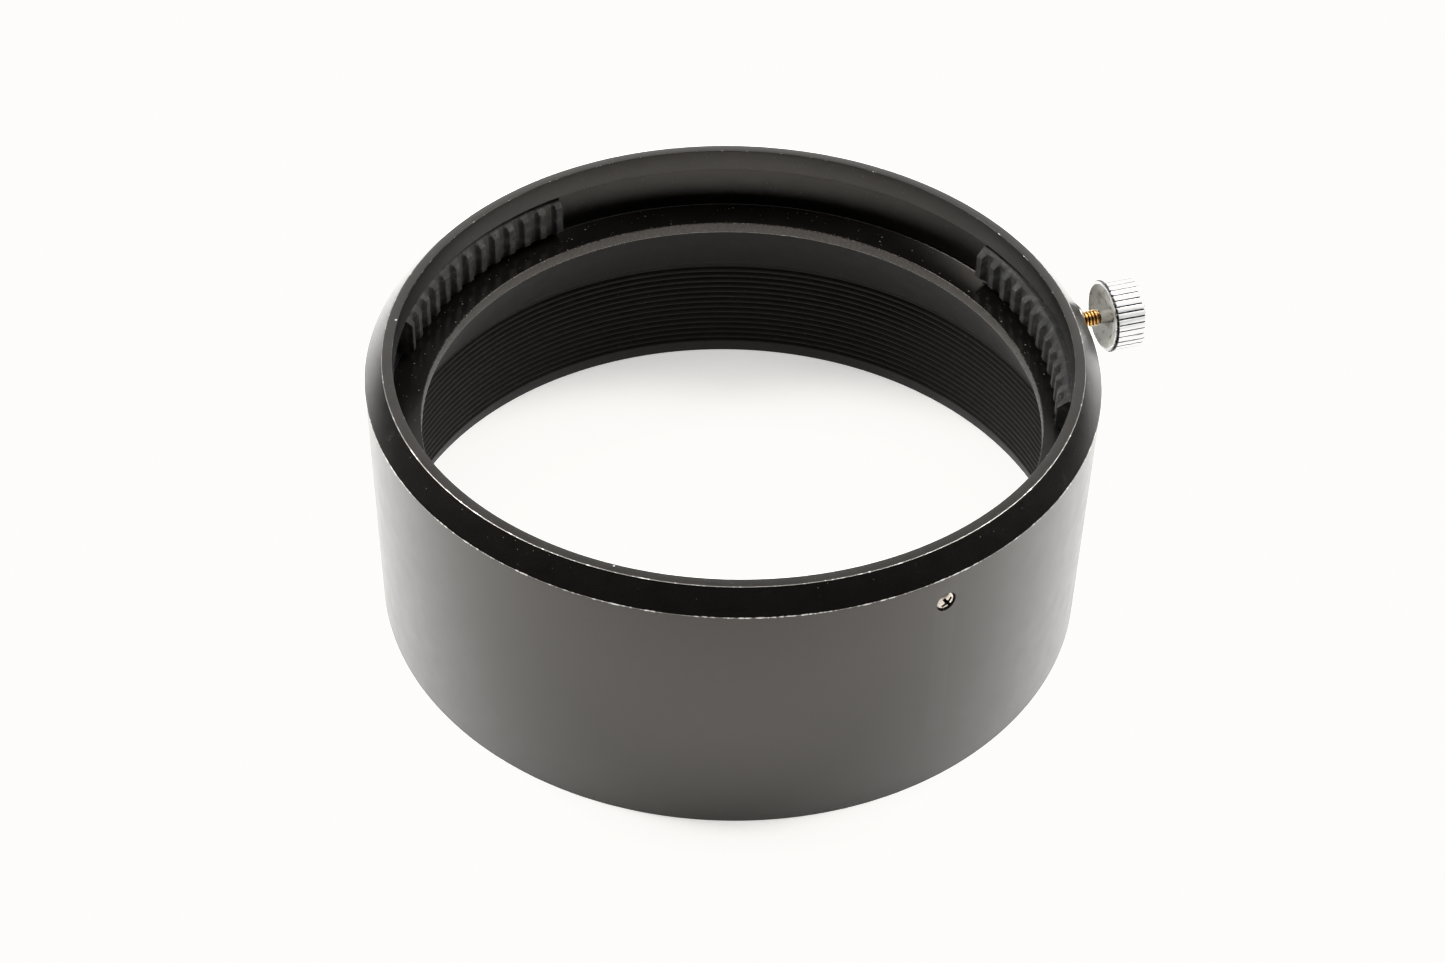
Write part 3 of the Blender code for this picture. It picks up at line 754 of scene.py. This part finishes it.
def make_foot_and_stud(foot_metal, brass):
    """The swivelling foot, and the threaded stud with its spigot riveted in the foot."""
    front, back = span("pressure_foot", 0)
    seat = front + FOOT_SEAT_DEPTH
    outline = rounded([
        (FOOT_RADIUS, back, 0.08), (FOOT_RADIUS, front, 0.12), (FOOT_SEAT_RADIUS, front, 0.05),
        (FOOT_SEAT_RADIUS, seat, 0.02), (FOOT_HOLE, seat, 0.02), (FOOT_HOLE, back, 0.04),
    ], 3)
    shape = turned(outline, 72, SCREW_AXIS)
    piece("foot_disc", shape, "foot", ("pressure_foot",), foot_metal)
    inner, outer = span("thumbscrew_stud", 0)
    start, end = back + 0.06, head_size()[0] - NECK_LENGTH
    length = end - start
    slices = round(length / THREAD_PITCH * 16)
    outline = [
        (0, outer), (NECK_RADIUS - 0.07, outer), (NECK_RADIUS, outer - 0.07),
        (NECK_RADIUS, end + 0.08),
        *((THREAD_RADIUS, end - length * i / slices) for i in range(slices + 1)),
        (SPIGOT_RADIUS, start), (SPIGOT_RADIUS, inner + 0.18), (RIVET_RADIUS, inner + 0.18),
        (RIVET_RADIUS, inner + 0.04), (RIVET_RADIUS - 0.1, inner), (0, inner),
    ]
    first_slice = 4

    def thread(radius, height, turn, index):
        """A ridge once round for each pitch, fading out at both ends."""
        if not first_slice <= index <= first_slice + slices:
            return radius
        phase = (height / THREAD_PITCH - turn / (2 * math.pi)) % 1
        ridge = min(1.0, max(0.0, 1.2 - 2.6 * abs(phase - 0.5)))
        fade = max(0.0, min(1.0, (height - start) / 0.3, (end - height) / 0.25))
        return radius - THREAD_DEPTH * (1 - ridge * fade)

    stud = turned(outline, 64, SCREW_AXIS, closed=False, reach=thread)
    piece("threaded_stud", stud, "thumbscrew", ("thumbscrew_stud",), brass, 50)


def make_head(made_of):
    """The knurled head: a dish towards the ring, teeth round the side, a plain outer face."""
    inner, outer, rim = head_size()
    dish = rim - DISH_RIM
    bore_and_dish = [
        (HEAD_BORE, inner + HEAD_BORE_DEPTH), (HEAD_BORE, inner + DISH_DEPTH),
        (HEAD_BORE + 0.14, inner + DISH_DEPTH - 0.12), (2.4, inner + 0.84),
        (dish - 0.12, inner + 0.16), (dish - 0.03, inner + 0.05), (dish + 0.04, inner),
    ]
    side = [
        (rim - 0.36, inner), (rim - 0.30, inner + 0.04), (rim - 0.04, inner + 0.27),
        (rim, inner + 0.34), (rim, inner + 1.0), (rim, inner + 2.0), (rim, inner + 3.0),
        (rim, outer - KNURL_END), (rim - 0.05, outer - 0.32), (rim - 0.16, outer - 0.20),
        (rim - 0.27, outer - 0.09), (rim - 0.36, outer - 0.02),
    ]
    outer_face = [
        (rim - 0.46, outer), (rim - 1.0, outer), (rim - 1.06, outer - 0.05),
        (rim - 1.14, outer - 0.05), (rim - 1.2, outer), (0.5, outer), (0.0, outer),
    ]
    pitch = 2 * math.pi / KNURL_TEETH

    def knurl(radius, height, turn, index):
        """Crowned teeth with a narrow groove between them."""
        if index < len(bore_and_dish):
            return radius
        across = abs((turn / pitch + 0.5) % 1 - 0.5)
        crown = CROWN_DEPTH * ((0.5 - across) / 0.5) ** 2
        groove = GROOVE_CUT * max(0.0, 1 - across / GROOVE_HALF)
        return min(radius, rim - crown - groove)

    outline = bore_and_dish + side + outer_face
    head = turned(outline, KNURL_TEETH * 16, SCREW_AXIS, closed=False, reach=knurl)
    bmesh.ops.holes_fill(head, edges=[edge for edge in head.edges if edge.is_boundary])
    piece("knurled_head", head, "thumbscrew", ("thumbscrew_head",), made_of, 40)


# ---------------------------------------------------------------- stage

FLOOR_GLOW = 0.49  # light that comes through the paper, so shadows on it stay faint
STUDIO = Matrix.Rotation(VIEW_AZIMUTH, 4, "Z")


def make_floor():
    """A sheet of pale paper under the object."""
    shape = bmesh.new()
    bmesh.ops.create_grid(shape, x_segments=1, y_segments=1, size=3.0)
    n = Nodes("pale_paper", Roughness=0.6)
    cloud = n.noise(0.02, detail=3.0)
    fibre = n.noise(1.2, detail=4.0, rough=0.7)
    spots = n.times(n.specks(0.04, 0.009, 0.16), 0.9)
    colour = n.blend(cloud, (0.80, 0.795, 0.78), (0.83, 0.825, 0.815))
    n.bump(fibre, 0.02, 0.3)
    n.shader.inputs["Emission Color"].default_value = (1.0, 0.99, 0.97, 1)
    n.shader.inputs["Emission Strength"].default_value = FLOOR_GLOW
    paper = n.finish(Base_Color=n.blend(spots, colour, (0.20, 0.18, 0.15)))
    piece("paper_floor", shape, None, (), paper)


def soft_light(name, radiance, size, place, aim, spread=180):
    """A rectangular soft box. Its place and aim are in the camera's turned frame, in metres."""
    light = bpy.data.lights.new(name, "AREA")
    light.shape = "RECTANGLE"
    light.size, light.size_y = size
    light.energy = radiance * math.pi * size[0] * size[1]
    light.spread = math.radians(spread)
    lamp = bpy.data.objects.new(name, light)
    bpy.context.scene.collection.objects.link(lamp)
    lamp.rotation_mode = "QUATERNION"
    lamp.location = STUDIO @ Vector(place)
    lamp.rotation_quaternion = (STUDIO @ Vector(aim) - lamp.location).to_track_quat("-Z", "Y")
    lamp.visible_camera = False


def make_camera():
    """A camera looking down at the ring, rolled slightly about its own axis."""
    forward = STUDIO @ Vector((0, math.cos(VIEW_ELEVATION), -math.sin(VIEW_ELEVATION)))
    across = STUDIO @ Vector((1, 0, 0))
    raised = across.cross(forward)
    right = math.cos(VIEW_ROLL) * across + math.sin(VIEW_ROLL) * raised
    up = math.cos(VIEW_ROLL) * raised - math.sin(VIEW_ROLL) * across
    camera = bpy.data.objects.new("camera", bpy.data.cameras.new("camera"))
    bpy.context.scene.collection.objects.link(camera)
    camera.data.lens = CAMERA_LENS
    camera.data.sensor_width = 36
    camera.data.clip_start = 0.01
    turn = Matrix((right, up, -forward)).transposed().to_4x4()
    camera.matrix_world = Matrix.Translation(STUDIO @ Vector(CAMERA_PLACE)) @ turn
    bpy.context.scene.camera = camera


def make_studio():
    """The floor, a large soft box above, two small ones at the sides and one behind."""
    make_floor()
    soft_light("box_top", 2.75, (1.3, 1.1), (0, 0.15, 1.1), (0, 0.1, 0))
    soft_light("pool_left", 3.5, (0.20, 0.30), (-0.34, 0.12, 0.34), (-0.15, 0.05, 0), 60)
    soft_light("pool_right", 2.9, (0.20, 0.30), (0.34, 0.12, 0.34), (0.15, 0.03, 0), 60)
    soft_light("box_back", 2.2, (2.0, 0.72), (0, 1.0, 0.37), (0, 0, 0.02))
    world = bpy.data.worlds.new("studio")
    bpy.context.scene.world = world
    world.use_nodes = True
    background = world.node_tree.nodes["Background"]
    background.inputs["Color"].default_value = (0.95, 0.97, 1.0, 1)
    background.inputs["Strength"].default_value = 0.03


def set_tone():
    """A camera's response: linear up to the highlights, then a soft shoulder."""
    view = bpy.context.scene.view_settings
    view.view_transform = "Standard"
    view.look = "None"
    view.use_curve_mapping = True
    mapping = view.curve_mapping
    mapping.use_clip = True
    mapping.clip_max_x = 3.0
    mapping.clip_max_y = 1.0
    mapping.extend = "HORIZONTAL"
    for channel, white in zip(mapping.curves, (0.984, 0.976, 0.957)):
        points = channel.points
        points[0].location = (0, 0)
        points[1].location = (1.5, white)
        points.new(0.6, 0.6)
        points.new(1.0, white * 0.92)
        for point in points:
            point.handle_type = "VECTOR" if point.location.x == 0.0 else "AUTO_CLAMPED"
    mapping.update()


black = anodised("anodised_black", 0.5)
inner_black = anodised("anodised_black_inside", 0.36)
ribbed = rubber()
blackened = metal("blackened_spring_steel", (0.10, 0.10, 0.10), (0.035, 0.033, 0.03), 0.34)
zinc_plate = metal("zinc_plated_steel", (0.62, 0.62, 0.60), (0.35, 0.33, 0.29), 0.30)
nickel_plate = metal("nickel_plated_steel", (0.44, 0.39, 0.33), (0.19, 0.155, 0.12), 0.11, 0.7)
# Painted shade: a near-black lining for the cross recess, where shade falls.
recess_shade = metal("recess_painted_shade", (0.045, 0.040, 0.032), (0.015, 0.013, 0.010), 0.55)
foot_metal = metal("brass_foot", (0.72, 0.52, 0.24), (0.36, 0.24, 0.11), 0.30, 0.6, CLAMP_Z)

make_barrel(black, baffle(), inner_black)
make_pads_and_leaf(ribbed, blackened)
make_anchor(nickel_plate, zinc_plate, recess_shade)
make_bush(bush_plate())
make_foot_and_stud(foot_metal, stud_brass())
make_head(head_chrome())
make_studio()
make_camera()
set_tone()
